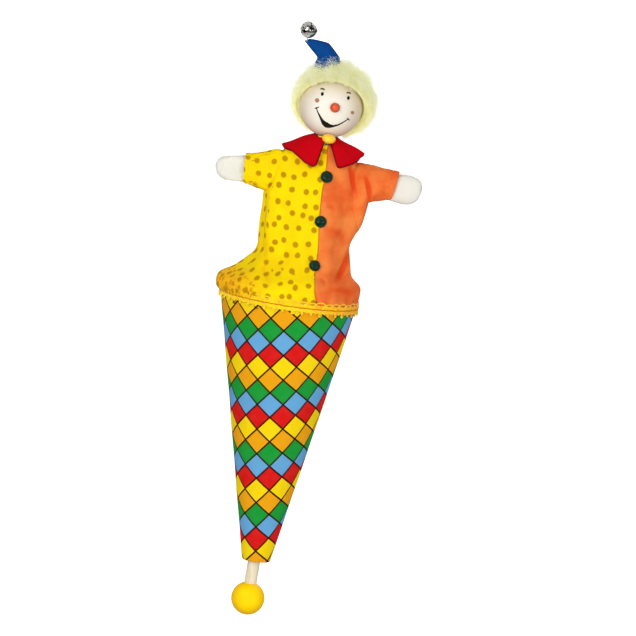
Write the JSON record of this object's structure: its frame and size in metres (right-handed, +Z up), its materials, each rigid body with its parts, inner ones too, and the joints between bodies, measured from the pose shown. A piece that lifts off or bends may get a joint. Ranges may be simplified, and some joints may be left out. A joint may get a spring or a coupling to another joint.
{
  "type": "pop-up puppet",
  "caption": "Clown puppet on a dowel that slides up out of a cloth-covered card cone, with felt mitts, a plush wig, a bent felt hat and a jingle bell.",
  "frame": {"origin": "middle of the cone's lower end, where a hand holds the cone from", "axes": "+Z up along the cone's axis, -Y out of the clown's face, +X to the viewer's right"},
  "size_m": [0.164, 0.1122, 0.4774],
  "materials": {
    "card": "pressed card",
    "printed_cotton": "printed cotton",
    "braid_yarn": "crocheted yarn",
    "guide_wood": "plain wood",
    "dowel_wood": "sanded wood",
    "knob_paint": "gloss paint over wood",
    "face_paint": "satin paint over wood",
    "nose_paint": "satin paint over wood",
    "plush": "long plush",
    "felt_blue": "felt",
    "bell_metal": "bright plated",
    "pellet_steel": "bare steel",
    "cloth_yellow": "dotted cotton",
    "cloth_orange": "plain cotton",
    "binding_thread": "wound thread",
    "felt_red": "felt",
    "bead_yellow": "gloss paint over wood",
    "button_green": "felted pompom",
    "felt_white": "felt"
  },
  "bodies": {
    "cone": {"cone_shell": "card", "cone_cover": "printed_cotton", "rim_braid": "braid_yarn", "tip_guide": "guide_wood"},
    "costume": {"bodice_yellow": "cloth_yellow", "bodice_orange": "cloth_orange", "neck_binding": "binding_thread", "collar": "felt_red", "throat_bead": "bead_yellow", "button_bottom": "button_green", "button_middle": "button_green", "button_top": "button_green"},
    "stick": {"stick": "dowel_wood", "knob": "knob_paint", "head": "face_paint", "nose": "nose_paint", "wig": "plush", "hat": "felt_blue"},
    "bell": {"bell_lower": "bell_metal", "bell_upper": "bell_metal"},
    "pellet": {"bell_pellet": "pellet_steel"},
    "arm_left": {"sleeve_yellow": "cloth_yellow", "mitt_left": "felt_white"},
    "arm_right": {"sleeve_orange": "cloth_orange", "mitt_right": "felt_white"}
  },
  "joints": [
    {"name": "stick_slide", "type": "slide", "parent": "cone", "child": "costume", "axis": [0.0419, 0, 0.9991], "range_m": [-0.198, 0.017], "deforming": ["bodice_yellow", "bodice_orange", "collar", "button_bottom", "button_middle", "button_top", "sleeve_yellow", "sleeve_orange", "mitt_left", "mitt_right"]},
    {"name": "stick_twirl", "type": "hinge", "parent": "costume", "child": "stick", "pos_m": [0.01368, 0, 0.35968], "axis": [0.0419, 0, 0.9991], "range_deg": [-90, 90]},
    {"name": "bell_swing", "type": "hinge", "parent": "stick", "child": "bell", "pos_m": [-0.01091, 0, 0.41779], "axis": [0, 1, 0], "range_deg": [-15, 15], "stiffness_Nm_per_rad": 0.004},
    {"name": "pellet_rattle", "type": "slide", "parent": "bell", "child": "pellet", "axis": [0.0419, 0, 0.9991], "range_m": [0, 0.009]},
    {"name": "arm_left_swing", "type": "hinge", "parent": "costume", "child": "arm_left", "pos_m": [-0.02447, 0, 0.30924], "axis": [0, 1, 0], "range_deg": [-45, 45], "stiffness_Nm_per_rad": 0.02},
    {"name": "arm_right_swing", "type": "hinge", "parent": "costume", "child": "arm_right", "pos_m": [0.04555, 0, 0.3083], "axis": [0, -1, 0], "range_deg": [-45, 45], "stiffness_Nm_per_rad": 0.02}
  ]
}
